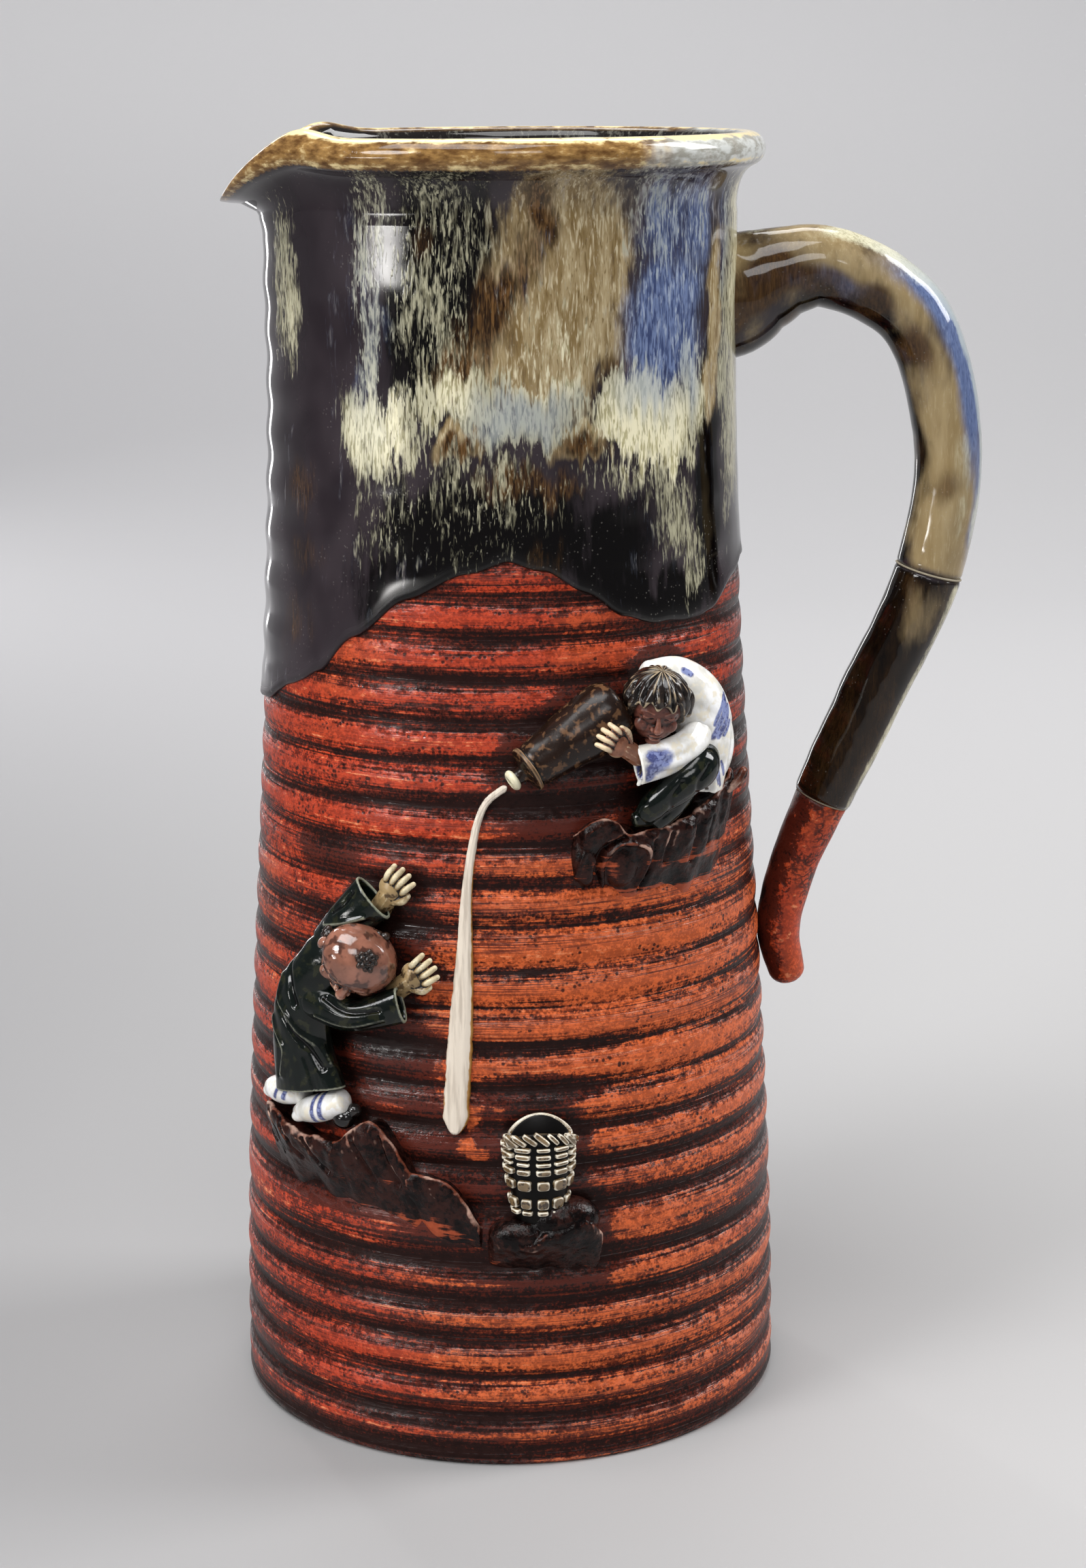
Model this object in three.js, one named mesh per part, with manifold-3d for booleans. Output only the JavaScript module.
// A wheel-thrown stoneware sake jug with a pulled lip, a looped handle and relief figures luted onto its front.
// Millimetres, +Z up. The origin is the centre of the flat base. +X points to the handle, -X to the pouring lip
// and -Y to the front, where the figures are.
import * as THREE from "three";
import { mergeVertices } from "three/addons/utils/BufferGeometryUtils.js";
import Module from "manifold-3d";

const wasm = await Module();
wasm.setup();

// Thrown body
const rimHeight = 305;
const rimTall = 18; // the flared rim, up from the neck
const footRadius = 66.4;
const bellyRadius = 66.8;
const waistRadius = 53.1;
const neckRadius = 55;
const footChamfer = 1.6;
const wallThickness = 5.5;
const floorThickness = 8;
const rimFlare = 6.7; // how far the rim stands out past the neck
const rimRoll = 3.6;
const rimUnderside = -70; // degrees round the roll where the neck's sweep meets it
const rimInside = 205; // degrees round the roll where the inner wall leaves it

// Throwing rings: deep on the bare clay, shallow under the glaze
const ringPitch = 9.4;
const ringDepth = 0.9;
const glazedRingPitch = 11.7;
const glazedRingDepth = 0.35;
const glazeDrop = 82; // how far the glaze runs down from the neck
const ringLand = 0.64; // share of a ring that is crest

// Pouring lip, pulled out and down from the rim
const lipHalfAngle = 42;
const lipReach = 3.8;
const lipDroop = 15;
const lipDepth = 22; // how far below the rim the pull begins
const lipShoulderRise = 1.8;
const lipShoulderSpread = 8;

// Handle: broken twice in its life and bonded again, so it is three lengths of clay with two bonds
const handleStations = [
  // depth below the neck, stand-off of the centre line from the wall, half thickness, half width
  [19, -13, 18, 14],
  [20, 1.5, 14, 12],
  [14.6, 11.5, 10.2, 10],
  [13, 21, 9.2, 9],
  [24, 41.8, 8.2, 8.6],
  [55, 51.1, 7.6, 8.4],
  [86, 45.8, 7.5, 8.2],
  [117, 30.5, 7.4, 8],
  [142, 17.5, 6.6, 7.4],
  [160, 9.2, 5.8, 6.8],
  [175, 5, 5.4, 6.6],
  [185.5, 6.4, 4.4, 5.6],
];
const tailLength = 45.4; // the bare length below the lower break, along the handle's line
const shankLength = 61.5; // the glazed length between the breaks
const glazeBuild = 0.5; // glaze on the two upper lengths makes them thicker than the bare tail
const bondThickness = 0.5;
const handleSides = 12;
const handleStep = 7;

// Where each scene of figures sits: degrees from the front towards the handle, and height of its reference point
const pourerAngle = 31;
const pourerHeight = 165;
const catcherAngle = -41;
const catcherHeight = 100;
const basketAngle = 6;
const basketHeight = 72;

// Figures
const pourerHead = { width: 13, height: 15.4, depth: 13.6 };
const catcherHead = { width: 15.6, height: 17.4, depth: 15 };
const hairThickness = 1.1;
const hairline = 2.4;
const topknotWidth = 5.4;
const handLength = 12;
const handWidth = 8;
const handThickness = 4.4;
const footLength = 13.5;
const footWidth = 6.6;

// Jar and the sake that runs from it
const jarLength = 26;
const jarButtRadius = 7.6;
const jarShoulderRadius = 4.6;
const jarCollar = 0.5;
const jarNeckRadius = 1.7;
const jarNeckLength = 4.2;
const jarMouthRadius = 2.3;
const jarMouthThickness = 1.5;
const streamWidth = 6.4;
const streamHeight = 2;

// Basket
const basketTall = 27;
const basketTopHalf = 8.4;
const basketBottomHalf = 5.2;
const basketDepthShare = 0.82;
const basketBelow = 0.39; // share of the basket that is below its scene's reference point
const basketBands = 6;
const basketBandDepth = 0.45;
const basketWall = 1.5;
const basketMouthDepth = 5;

// Fits and smoothness
const clearance = 0.3;
const bodySegments = 40;
const limbSides = 8;
const limbSteps = 2;
const jarSegments = 14;
const eggAround = 10;
const eggUp = 7;
const beadAround = 6;
const beadUp = 5;
const backing = 3; // how far a piece is first made into the wall, before the wall is cut away from it

const radians = THREE.MathUtils.degToRad;
const lerp = THREE.MathUtils.lerp;

// Solids and meshes

function solidOf(geometry) {
  const bare = geometry.clone();
  bare.deleteAttribute("normal");
  bare.deleteAttribute("uv");
  const merged = mergeVertices(bare, 1e-4);
  return new wasm.Manifold(
    new wasm.Mesh({
      numProp: 3,
      vertProperties: new Float32Array(merged.attributes.position.array),
      triVerts: new Uint32Array(merged.index.array),
    }),
  );
}

function geometryOf(solid) {
  const mesh = solid.getMesh();
  const geometry = new THREE.BufferGeometry();
  geometry.setAttribute("position", new THREE.BufferAttribute(mesh.vertProperties, 3));
  geometry.setIndex(new THREE.BufferAttribute(mesh.triVerts, 1));
  geometry.computeVertexNormals();
  return geometry;
}

function joined(solids) {
  return solids.reduce((whole, solid) => whole.add(solid));
}

// A closed skin over rings that hold the same number of points, with a fan to a tip at each end.
function loft(rings, firstTip, lastTip) {
  const sides = rings[0].length;
  const points = [...rings.flat(), firstTip, lastTip];
  const first = points.length - 2;
  const last = points.length - 1;
  const lastRing = (rings.length - 1) * sides;
  const faces = [];
  for (let k = 0; k < sides; k++) {
    const next = (k + 1) % sides;
    for (let ring = 0; ring < lastRing; ring += sides) {
      faces.push(ring + k, ring + next, ring + sides + next);
      faces.push(ring + k, ring + sides + next, ring + sides + k);
    }
    faces.push(first, next, k);
    faces.push(last, lastRing + k, lastRing + next);
  }
  const geometry = new THREE.BufferGeometry().setFromPoints(points);
  geometry.setIndex(faces);
  return geometry;
}

function middleOf(points) {
  const sum = points.reduce((total, point) => total.add(point), new THREE.Vector3());
  return sum.divideScalar(points.length);
}

// The thrown wall

const neckHeight = rimHeight - rimTall;
const rimRadius = neckRadius + rimFlare;
const glazeLine = neckHeight - glazeDrop;
const wallCurve = new THREE.CubicBezierCurve(
  new THREE.Vector2(footRadius, 0),
  new THREE.Vector2(bellyRadius, neckHeight / 3),
  new THREE.Vector2(waistRadius, (2 * neckHeight) / 3),
  new THREE.Vector2(neckRadius, neckHeight),
);

// Radius of the outer face over the crests of the rings. Height runs evenly along the curve.
function wallRadius(height) {
  return wallCurve.getPoint(THREE.MathUtils.clamp(height / neckHeight, 0, 1)).x;
}

// Outline of a stretch of rings: for each, a crest as broad as its land and then the narrow valley above it.
function ringOutline(bottom, top, pitch, depth, land) {
  const count = Math.max(1, Math.round((top - bottom) / pitch));
  const tall = (top - bottom) / count;
  const crestShares = land > 0 ? [0.5 - land / 2, 0.5 + land / 2] : [0.5];
  const outline = [];
  for (let ring = 0; ring < count; ring++) {
    const foot = bottom + ring * tall;
    for (const share of crestShares) {
      outline.push(new THREE.Vector2(wallRadius(foot + share * tall), foot + share * tall));
    }
    outline.push(new THREE.Vector2(wallRadius(foot + tall) - depth, foot + tall));
  }
  return outline;
}

function bodyOutline() {
  const rollCentre = new THREE.Vector2(rimRadius - rimRoll, rimHeight - rimRoll);
  const onRoll = (angle) =>
    new THREE.Vector2(
      rollCentre.x + rimRoll * Math.cos(radians(angle)),
      rollCentre.y + rimRoll * Math.sin(radians(angle)),
    );
  const underside = onRoll(rimUnderside);
  const neck = new THREE.Vector2(neckRadius - glazedRingDepth, neckHeight);
  const sweep = new THREE.QuadraticBezierCurve(neck, new THREE.Vector2(neckRadius, underside.y - rimRoll / 2), underside);
  const roll = new THREE.EllipseCurve(
    rollCentre.x,
    rollCentre.y,
    rimRoll,
    rimRoll,
    radians(rimUnderside),
    radians(rimInside),
  );
  const inner = (height) => new THREE.Vector2(wallRadius(height) - wallThickness, height);
  return [
    new THREE.Vector2(0, 0),
    new THREE.Vector2(footRadius - footChamfer, 0),
    new THREE.Vector2(footRadius, footChamfer),
    ...ringOutline(footChamfer, glazeLine, ringPitch, ringDepth, ringLand),
    ...ringOutline(glazeLine, neckHeight, glazedRingPitch, glazedRingDepth, 0),
    ...sweep.getPoints(4).slice(1),
    ...roll.getPoints(6).slice(1),
    inner(neckHeight),
    inner(glazeLine),
    inner(glazeLine / 2),
    inner(floorThickness + wallThickness),
    new THREE.Vector2(wallRadius(floorThickness) - 2 * wallThickness, floorThickness),
    new THREE.Vector2(0, floorThickness),
  ];
}

// The lip is pulled from the finished rim: out and down at its middle, with a slight rise at each shoulder.
function pullLip(geometry) {
  const position = geometry.attributes.position;
  const root = rimHeight - lipDepth;
  for (let i = 0; i < position.count; i++) {
    const point = new THREE.Vector3().fromBufferAttribute(position, i);
    const radius = Math.hypot(point.x, point.y);
    const share = (point.z - root) / lipDepth;
    if (share <= 0 || radius < neckRadius / 2) continue;
    const angle = Math.abs(THREE.MathUtils.radToDeg(Math.atan2(point.y, -point.x)));
    const pull = angle < lipHalfAngle ? (1 + Math.cos((Math.PI * angle) / lipHalfAngle)) / 2 : 0;
    const fromShoulder = (angle - lipHalfAngle) / lipShoulderSpread;
    const rise = lipShoulderRise * Math.exp(-fromShoulder * fromShoulder);
    const pulled = radius + lipReach * Math.sqrt(pull) * share;
    const height = point.z - lipDroop * pull * share ** 1.5 + rise * share * share;
    position.setXYZ(i, (point.x * pulled) / radius, (point.y * pulled) / radius, height);
  }
  return geometry;
}

function revolved(outline) {
  return new THREE.LatheGeometry(outline, bodySegments).rotateX(Math.PI / 2);
}

// What every applied piece lies on: the wall over its crests, with the clearance, from below the foot to above the rim.
function wallSeat() {
  const heights = [0, 0.2, 0.4, 0.6, 0.8, 1].map((share) => share * neckHeight);
  return solidOf(
    revolved([
      new THREE.Vector2(0, -rimHeight),
      new THREE.Vector2(wallRadius(0) + clearance, -rimHeight),
      ...heights.map((height) => new THREE.Vector2(wallRadius(height) + clearance, height)),
      new THREE.Vector2(neckRadius + clearance, 2 * rimHeight),
      new THREE.Vector2(0, 2 * rimHeight),
    ]),
  );
}

// The handle

const handleLine = new THREE.CatmullRomCurve3(
  handleStations.map(([depth, standOff]) => {
    const height = neckHeight - depth;
    return new THREE.Vector3(wallRadius(height) + standOff, 0, height);
  }),
);
const handleGirth = new THREE.CatmullRomCurve3(
  handleStations.map(([, , thickness, width]) => new THREE.Vector3(thickness, width, 0)),
);

// A length of the handle between two distances along its line, square at its ends.
function handleLength(from, to, build) {
  const whole = handleLine.getLength();
  const steps = Math.max(1, Math.round((to - from) / handleStep));
  const rings = [];
  for (let i = 0; i <= steps; i++) {
    const t = handleLine.getUtoTmapping(0, lerp(from, to, i / steps));
    const centre = handleLine.getPoint(t);
    const along = handleLine.getTangent(t);
    const across = new THREE.Vector3(along.z, 0, -along.x);
    const girth = handleGirth.getPoint(t);
    const ring = [];
    for (let k = 0; k < handleSides; k++) {
      const turn = (2 * Math.PI * k) / handleSides;
      const point = centre.clone().addScaledVector(across, (girth.x + build) * Math.cos(turn));
      point.y += (girth.y + build) * Math.sin(turn);
      ring.push(point);
    }
    rings.push(ring);
  }
  const end = to >= whole ? handleLine.getTangent(1).multiplyScalar(handleGirth.getPoint(1).x / 2) : new THREE.Vector3();
  return solidOf(loft(rings, middleOf(rings[0]), middleOf(rings.at(-1)).add(end)));
}

// Scenes on the wall: millimetres across to the right, up, and out from the crests

function sceneAt(angle, height) {
  const arc = wallRadius(height);
  const turned = (across) => radians(angle) + across / arc;
  return {
    point(across, up, out) {
      const radius = wallRadius(height + up) + out;
      const turn = turned(across);
      return new THREE.Vector3(radius * Math.sin(turn), -radius * Math.cos(turn), height + up);
    },
    outward(across) {
      return new THREE.Vector3(Math.sin(turned(across)), -Math.cos(turned(across)), 0);
    },
    right(across) {
      return new THREE.Vector3(Math.cos(turned(across)), Math.sin(turned(across)), 0);
    },
  };
}

const pourerScene = sceneAt(pourerAngle, pourerHeight);
const catcherScene = sceneAt(catcherAngle, catcherHeight);
const basketScene = sceneAt(basketAngle, basketHeight);

// A frame standing on a scene: x to the right, y up, z out, then turned to the side, nodded down and tilted.
function pose(scene, [across, up, out], { turn = 0, nod = 0, tilt = 0 } = {}) {
  const frame = new THREE.Matrix4().makeBasis(
    scene.right(across),
    new THREE.Vector3(0, 0, 1),
    scene.outward(across),
  );
  frame.setPosition(scene.point(across, up, out));
  const turned = new THREE.Matrix4().makeRotationFromEuler(
    new THREE.Euler(radians(nod), radians(turn), radians(tilt), "ZYX"),
  );
  return frame.multiply(turned);
}

function stretchedBall(ball, frame, [x, y, z], [halfX, halfY, halfZ], grow) {
  ball.scale(halfX + grow, halfY + grow, halfZ + grow);
  ball.translate(x, y, z);
  return solidOf(ball.applyMatrix4(frame));
}

function egg(frame, centre, halves, grow) {
  return stretchedBall(new THREE.SphereGeometry(1, eggAround, eggUp), frame, centre, halves, grow);
}

// A small egg with fewer faces, for fingers, ears and noses.
function bead(frame, centre, halves, grow) {
  return stretchedBall(new THREE.SphereGeometry(1, beadAround, beadUp), frame, centre, halves, grow);
}

// A round, tapering length of clay through points, with a half width and a half depth at each.
function rolledClay(points, halves, grow) {
  const line = new THREE.CatmullRomCurve3(points);
  const girth = new THREE.CatmullRomCurve3(halves.map(([width, depth]) => new THREE.Vector3(width, depth, 0)));
  const steps = (points.length - 1) * limbSteps;
  const rings = [];
  for (let i = 0; i <= steps; i++) {
    const centre = line.getPoint(i / steps);
    const along = line.getTangent(i / steps);
    if (i === 0) centre.addScaledVector(along, -grow);
    if (i === steps) centre.addScaledVector(along, grow);
    const outward = new THREE.Vector3(centre.x, centre.y, 0).normalize();
    const side = outward.clone().cross(along).normalize();
    const front = along.clone().cross(side);
    const half = girth.getPoint(i / steps).addScalar(grow);
    const ring = [];
    for (let k = 0; k < limbSides; k++) {
      const turn = (2 * Math.PI * (k + 0.5)) / limbSides;
      const point = centre.clone().addScaledVector(side, half.x * Math.cos(turn));
      ring.push(point.addScaledVector(front, half.y * Math.sin(turn)));
    }
    rings.push(ring);
  }
  return solidOf(loft(rings, middleOf(rings[0]), middleOf(rings.at(-1))));
}

// A limb in a scene. Stations are [across, up, out, half width, half depth].
function limb(scene, stations, grow) {
  const points = stations.map(([across, up, out]) => scene.point(across, up, out));
  return rolledClay(points, stations.map((station) => station.slice(3)), grow);
}

// A rock shelf. Stations are [across, crest height, reach out from the wall, drop of its face].
function shelf(scene, stations, grow) {
  const line = new THREE.CatmullRomCurve3(stations.map(([across, crest]) => new THREE.Vector3(across, crest, 0)));
  const face = new THREE.CatmullRomCurve3(stations.map(([, , reach, drop]) => new THREE.Vector3(reach, drop, 0)));
  const steps = (stations.length - 1) * limbSteps;
  const rings = [];
  for (let i = 0; i <= steps; i++) {
    const { x: across, y: crest } = line.getPoint(i / steps);
    const { x: reach, y: drop } = face.getPoint(i / steps);
    const spread = i === 0 ? -grow : i === steps ? grow : 0;
    const section = [
      [-backing, crest + grow],
      [reach * 0.6, crest + grow],
      [reach + grow, crest - drop * 0.12],
      [reach * 0.8 + grow, crest - drop * 0.4],
      [reach * 0.35 + grow, crest - drop * 0.8],
      [-backing, crest - drop - grow],
    ];
    rings.push(section.map(([out, up]) => scene.point(across + spread, up, out)));
  }
  return solidOf(loft(rings, middleOf(rings[0]), middleOf(rings.at(-1))));
}

// A hand lying on the wall: a palm and four fingers, pointing up and turned by tilt.
function hand(scene, place, tilt, grow) {
  const frame = pose(scene, place, { tilt });
  const palmHalf = handLength * 0.28;
  const fingerWidth = handWidth / 4;
  const parts = [bead(frame, [0, -palmHalf * 0.7, 0], [handWidth / 2, palmHalf * 1.25, handThickness / 2], grow)];
  for (let finger = 0; finger < 4; finger++) {
    const x = (finger - 1.5) * fingerWidth;
    const reach = handLength * (finger === 0 || finger === 3 ? 0.26 : 0.31);
    const size = [fingerWidth * 0.46, reach, handThickness * 0.3];
    parts.push(bead(frame, [x, palmHalf * 0.55, handThickness * 0.08], size, grow));
  }
  return joined(parts);
}

// A head with a jaw, nose and ears, in a frame where z is the way it faces.
function head(frame, { width, height, depth }, grow) {
  return joined([
    egg(frame, [0, height * 0.08, 0], [width / 2, height * 0.42, depth / 2], grow),
    bead(frame, [0, -height * 0.2, depth * 0.08], [width * 0.4, height * 0.32, depth * 0.4], grow),
    bead(frame, [0, -height * 0.08, depth * 0.46], [width * 0.09, height * 0.1, depth * 0.1], grow),
    bead(frame, [-width * 0.48, 0, 0], [width * 0.08, height * 0.13, depth * 0.1], grow),
    bead(frame, [width * 0.48, 0, 0], [width * 0.08, height * 0.13, depth * 0.1], grow),
  ]);
}

// The pourer, on the ledge high on the right

const pourerHeadFrame = pose(pourerScene, [0.3, 15.6, 7.2], { turn: -24, nod: 24, tilt: -8 });

function upperLedge(grow) {
  const rock = shelf(
    pourerScene,
    [
      [-16.5, -13.6, 3.2, 13],
      [-12, -11.2, 4.4, 16],
      [-6, -13.6, 5, 15],
      [2, -13.8, 6, 15],
      [10, -10.6, 6.4, 19],
      [18, -7.4, 6.2, 22],
      [26.5, -4.2, 4.6, 20],
    ],
    grow,
  );
  const lobes = [
    pose(pourerScene, [-14, -20.4, 0]),
    pose(pourerScene, [-5.2, -20.6, 0]),
  ];
  return joined([rock, egg(lobes[0], [0, 0, 0], [4.4, 7.6, 3.4], grow), egg(lobes[1], [0, 0, 0], [5.6, 8.4, 4.8], grow)]);
}

function pourerTrousers(grow) {
  const thigh = [
    [14, 1.4, 4.6, 4.6, 4.4],
    [8.8, -1.6, 6.2, 4.8, 4.2],
    [3, -5, 6.2, 4.2, 3.8],
    [-0.8, -8.2, 4.8, 3, 3],
  ];
  const shin = [
    [9.4, -6.2, 3.2, 4, 3.2],
    [5, -9.4, 4, 3.4, 2.8],
    [1.6, -12.4, 4, 2.6, 2.4],
  ];
  return joined([limb(pourerScene, thigh, grow), limb(pourerScene, shin, grow)]);
}

function pourerRobe(grow) {
  const back = [
    [2.4, 22.4, 2.4, 3.4, 3.2],
    [9.4, 20.6, 4, 6, 4.6],
    [15.4, 13.6, 5, 7.6, 5.6],
    [17.8, 4.4, 5, 7.4, 5.6],
    [15.6, -6.4, 3.6, 5.6, 4.6],
  ];
  return limb(pourerScene, back, grow);
}

function pourerSleeve(grow) {
  const arm = [
    [13, 7.4, 8.2, 4.2, 3.6],
    [7, 3.4, 9, 4, 3.4],
    [1.4, 1.6, 8, 3.8, 3.2],
    [-3.2, 0.6, 6.4, 4, 2.8],
  ];
  return limb(pourerScene, arm, grow);
}

function pourerHeadShape(grow) {
  return head(pourerHeadFrame, pourerHead, grow);
}

function pourerHair(grow) {
  const { width, height, depth } = pourerHead;
  const outer = [width / 2 + hairThickness, height * 0.42 + hairThickness, depth / 2 + hairThickness];
  const crown = egg(pourerHeadFrame, [0, height * 0.08, 0], outer, grow);
  const face = new THREE.BoxGeometry(4 * width, 2 * height, 2 * depth);
  face.translate(0, hairline - grow - height, depth);
  face.applyMatrix4(pourerHeadFrame);
  const nape = new THREE.BoxGeometry(4 * width, 2 * height, 4 * depth);
  nape.translate(0, -height * 1.1, 0);
  nape.applyMatrix4(pourerHeadFrame);
  return crown.subtract(solidOf(face)).subtract(solidOf(nape));
}

function pourerHand(grow) {
  return hand(pourerScene, [-9.6, 8.6, 8.6], 56, grow);
}

// The jar lies along its own axis, mouth down to the left.
function jarFrame() {
  const mouth = pourerScene.point(-27.2, 1.9, 2.4);
  const butt = pourerScene.point(-4.8, 15.4, 1.6);
  const along = mouth.clone().sub(butt).normalize();
  const aim = new THREE.Quaternion().setFromUnitVectors(new THREE.Vector3(0, 1, 0), along);
  return new THREE.Matrix4().compose(mouth, aim, new THREE.Vector3(1, 1, 1));
}

function turnedAlongJar(outline) {
  return solidOf(new THREE.LatheGeometry(outline, jarSegments).applyMatrix4(jarFrame()));
}

function sakeJar(grow) {
  return turnedAlongJar([
    new THREE.Vector2(0, -jarLength - grow),
    new THREE.Vector2(jarButtRadius * 0.8 + grow, -jarLength - grow),
    new THREE.Vector2(jarButtRadius + grow, -jarLength * 0.86),
    new THREE.Vector2(jarShoulderRadius + grow, -jarCollar * 3),
    new THREE.Vector2(jarShoulderRadius + jarCollar + grow, -jarCollar * 2),
    new THREE.Vector2(jarShoulderRadius + jarCollar + grow, grow),
    new THREE.Vector2(jarNeckRadius + grow, jarCollar + grow),
    new THREE.Vector2(jarNeckRadius * 0.9 + grow, jarNeckLength + grow),
    new THREE.Vector2(0, jarNeckLength + grow),
  ]);
}

function jarMouth(grow) {
  const start = jarNeckLength - jarMouthThickness / 2;
  return turnedAlongJar([
    new THREE.Vector2(0, start - grow),
    new THREE.Vector2(jarMouthRadius * 0.8 + grow, start - grow),
    new THREE.Vector2(jarMouthRadius + grow, start + jarMouthThickness / 2),
    new THREE.Vector2(jarMouthRadius * 0.8 + grow, start + jarMouthThickness + grow),
    new THREE.Vector2(0, start + jarMouthThickness + grow),
  ]);
}

// The stream leaves the jar in an arc and then falls, widening, to the foot of the catcher's scene.
function sakeStream(grow) {
  const arc = [
    [-31.6, -2.2],
    [-36, -5.7],
    [-38.2, -10.5],
  ];
  const fall = [
    [35.8, 41],
    [34.9, 21.7],
    [33.8, 2],
    [32.6, -17],
  ];
  const points = [
    ...arc.map(([across, up]) => pourerScene.point(across, up, 0)),
    ...fall.map(([across, up]) => catcherScene.point(across, up, 0)),
  ];
  const widths = [0.28, 0.31, 0.38, 0.53, 0.81, 0.97, 1];
  return rolledClay(points, widths.map((share) => [(share * streamWidth) / 2, streamHeight]), grow);
}

// The catcher, low on the left, reaching for the stream

const catcherHeadFrame = pose(catcherScene, [12.4, 22.6, 8.2], { turn: 24, nod: 40, tilt: -30 });

function lowerLedge(grow) {
  return shelf(
    catcherScene,
    [
      [-21, -18.6, 4, 16],
      [-12, -20.4, 6, 16],
      [-4, -22.2, 6.4, 15],
      [5, -22.8, 5.6, 14],
      [11.4, -17.6, 5.2, 20],
      [17, -19, 5, 21],
      [22.6, -27, 3.6, 15],
    ],
    grow,
  );
}

function ledgeSpur(grow) {
  return shelf(
    catcherScene,
    [
      [24, -30.5, 3.4, 12],
      [27, -28.2, 4.2, 14],
      [31, -28.8, 4.2, 15],
      [35, -33.4, 3.8, 11],
      [39, -41, 2.6, 5],
    ],
    grow,
  );
}

// A foot in a split-toed sock, from its heel to its toes.
function tabi([across, up, out], slope, grow) {
  const half = footWidth / 2;
  const along = (share) => across + (0.5 - share) * footLength;
  const rise = (share) => up + (0.5 - share) * footLength * slope;
  return limb(
    catcherScene,
    [
      [along(0), rise(0) + half * 0.3, out, half, half],
      [along(0.4), rise(0.4), out + half * 0.2, half, half * 1.1],
      [along(0.75), rise(0.75), out, half * 0.85, half],
      [along(1), rise(1), out - half * 0.4, half * 0.4, half * 0.6],
    ],
    grow,
  );
}

function catcherLeftFoot(grow) {
  return tabi([-13.6, -15.4, 2.4], 0.05, grow);
}

function catcherRightFoot(grow) {
  return tabi([0.4, -17, 3.2], 0.3, grow);
}

function catcherRobe(grow) {
  const gown = [
    [8.6, 27.6, 2.4, 3.6, 3.4],
    [3, 21, 5, 6.6, 5],
    [-3, 10, 5.6, 7.8, 5.6],
    [-4.6, 0, 5, 8.6, 5],
    [-2.6, -12, 4.2, 10.6, 4.2],
  ];
  return limb(catcherScene, gown, grow);
}

function catcherUpperSleeve(grow) {
  const arm = [
    [2.6, 24.6, 4, 4.6, 4],
    [8.4, 31, 4.6, 5, 4],
    [14.2, 36.6, 4, 6.2, 4.2],
  ];
  return limb(catcherScene, arm, grow);
}

function catcherLowerSleeve(grow) {
  const arm = [
    [1, 11.4, 7, 4.6, 4],
    [11.4, 9.2, 7, 3.8, 3.6],
    [21.4, 12.4, 5, 4.2, 3.6],
  ];
  return limb(catcherScene, arm, grow);
}

function catcherHeadShape(grow) {
  return head(catcherHeadFrame, catcherHead, grow);
}

function catcherTopknot(grow) {
  const { height, depth } = catcherHead;
  const half = topknotWidth / 2;
  return egg(catcherHeadFrame, [0, height * 0.46, depth * 0.12], [half, half * 0.6, half], grow);
}

function catcherUpperHand(grow) {
  return hand(catcherScene, [19.8, 40.4, 2.6], -38, grow);
}

function catcherLowerHand(grow) {
  return hand(catcherScene, [26, 20.6, 3], -52, grow);
}

// The basket on its boulder

function basketRock(grow) {
  return shelf(
    basketScene,
    [
      [-12.4, -15.6, 3, 6],
      [-6, -14.4, 5.4, 8],
      [1, -13, 6.6, 10],
      [5.6, -10.4, 7, 12],
      [10.4, -10.2, 6.4, 13],
      [14.4, -15.4, 3.4, 8],
    ],
    grow,
  );
}

// One ring of the basket at a share of its height, with the weave's bands standing out between their ties.
function basketRing(share, inset, grow) {
  const half = lerp(basketBottomHalf, basketTopHalf, Math.sin((Math.PI / 2) * share));
  const band = basketBandDepth * Math.abs(Math.sin(Math.PI * share * basketBands));
  const wide = half + band - inset + grow;
  const deep = wide * basketDepthShare;
  const up = (share - basketBelow) * basketTall;
  const sides = 2 * limbSides;
  const ring = [];
  for (let k = 0; k < sides; k++) {
    const turn = (2 * Math.PI * k) / sides;
    ring.push(basketScene.point(wide * Math.sin(turn), up, deep * Math.cos(turn)));
  }
  return ring;
}

function basket(grow) {
  const steps = 2 * basketBands;
  const rings = [];
  for (let i = 0; i <= steps; i++) rings.push(basketRing(i / steps, 0, grow));
  const mouthShare = 1 - basketMouthDepth / basketTall;
  const mouth = [mouthShare, 1, 1.1].map((share) => basketRing(share, basketWall, -grow));
  const whole = solidOf(loft(rings, middleOf(rings[0]), middleOf(rings.at(-1))));
  return whole.subtract(solidOf(loft(mouth, middleOf(mouth[0]), middleOf(mouth.at(-1)))));
}

// Finishes

function finish(color, roughness) {
  return new THREE.MeshStandardMaterial({ color, roughness, metalness: 0 });
}

const redClay = finish(0x9a3a22, 0.6);
const flambeGlaze = finish(0x5a5248, 0.2);
const rockClay = finish(0x352a2b, 0.5);
const whiteGlaze = finish(0xe6e4d8, 0.2);
const greenGlaze = finish(0x24352c, 0.2);
const skinGlaze = finish(0x8a5444, 0.35);
const paleSkin = finish(0xa89a78, 0.4);
const darkHair = finish(0x3a2e28, 0.3);
const brownGlaze = finish(0x4a3a24, 0.3);
const creamGlaze = finish(0xcfc398, 0.3);
const basketGlaze = finish(0x8d8060, 0.4);
const bondFiller = finish(0xd8d2c2, 0.6);

// Assembly

const jug = new THREE.Group();

function addPiece(name, solid, material) {
  const mesh = new THREE.Mesh(geometryOf(solid), material);
  mesh.name = name;
  jug.add(mesh);
}

const seat = wallSeat();

addPiece("jug_body", solidOf(pullLip(revolved(bodyOutline()))), redClay);

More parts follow.
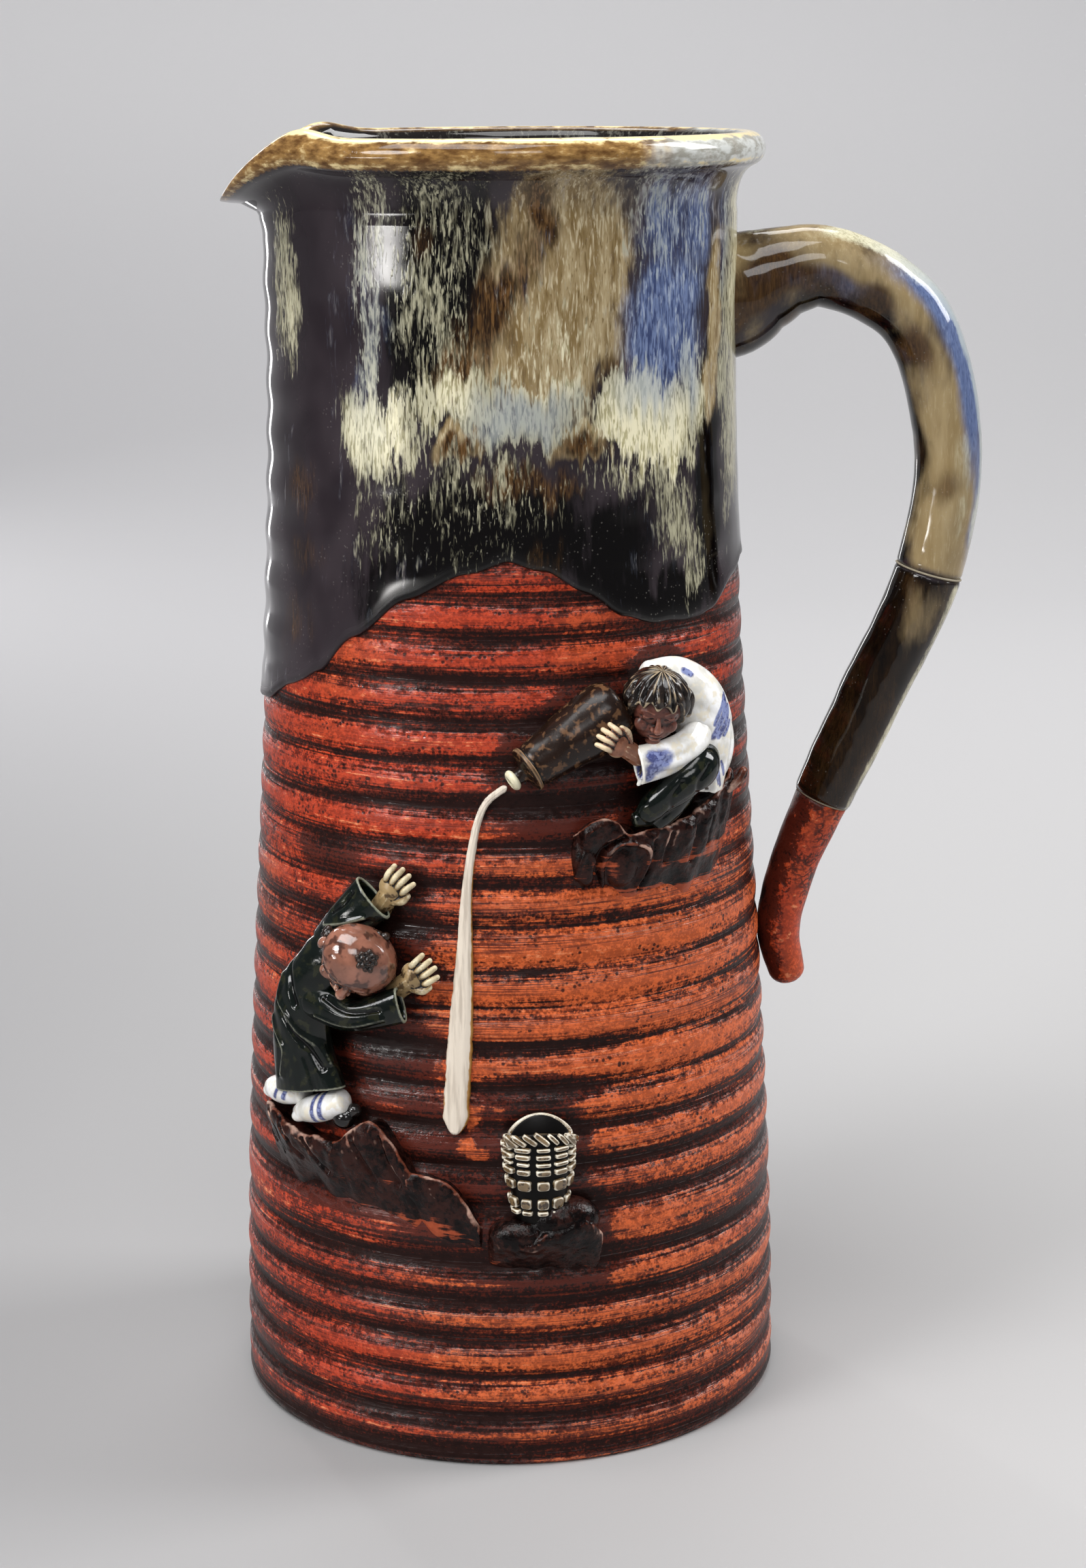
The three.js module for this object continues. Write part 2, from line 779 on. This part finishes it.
const handleEnd = handleLine.getLength();
const lowerBreak = handleEnd - tailLength;
const upperBreak = lowerBreak - shankLength;
const halfBond = bondThickness / 2;
const bondGap = halfBond + clearance;
const arch = handleLength(0, upperBreak - bondGap, glazeBuild);
const tail = handleLength(lowerBreak + bondGap, handleEnd, 0);
addPiece("handle_arch", arch.subtract(seat), flambeGlaze);
addPiece("upper_repair_bond", handleLength(upperBreak - halfBond, upperBreak + halfBond, glazeBuild), bondFiller);
addPiece("handle_shank", handleLength(upperBreak + bondGap, lowerBreak - bondGap, glazeBuild), flambeGlaze);
addPiece("lower_repair_bond", handleLength(lowerBreak - halfBond, lowerBreak + halfBond, 0), bondFiller);
addPiece("handle_tail", tail.subtract(seat), redClay);

// Applied pieces in the order that they are luted on. Each lies on the wall and on the pieces before it.
const applied = [
  ["upper_ledge", upperLedge, rockClay],
  ["pourer_head", pourerHeadShape, skinGlaze],
  ["pourer_hair", pourerHair, darkHair],
  ["pourer_hand", pourerHand, skinGlaze],
  ["pourer_sleeve", pourerSleeve, whiteGlaze],
  ["pourer_trousers", pourerTrousers, greenGlaze],
  ["pourer_robe", pourerRobe, whiteGlaze],
  ["jar_mouth", jarMouth, creamGlaze],
  ["sake_jar", sakeJar, brownGlaze],
  ["sake_stream", sakeStream, whiteGlaze],
  ["lower_ledge", lowerLedge, rockClay],
  ["ledge_spur", ledgeSpur, rockClay],
  ["catcher_left_foot", catcherLeftFoot, whiteGlaze],
  ["catcher_right_foot", catcherRightFoot, whiteGlaze],
  ["catcher_topknot", catcherTopknot, darkHair],
  ["catcher_head", catcherHeadShape, skinGlaze],
  ["catcher_upper_hand", catcherUpperHand, paleSkin],
  ["catcher_lower_hand", catcherLowerHand, paleSkin],
  ["catcher_lower_sleeve", catcherLowerSleeve, greenGlaze],
  ["catcher_upper_sleeve", catcherUpperSleeve, greenGlaze],
  ["catcher_robe", catcherRobe, greenGlaze],
  ["basket_rock", basketRock, rockClay],
  ["basket", basket, basketGlaze],
];
applied.forEach(([name, shape, material], order) => {
  const laidBefore = applied.slice(0, order).map(([, earlier]) => earlier(clearance));
  const solid = laidBefore.reduce((left, earlier) => left.subtract(earlier), shape(0).subtract(seat));
  addPiece(name, solid, material);
});

export default jug;
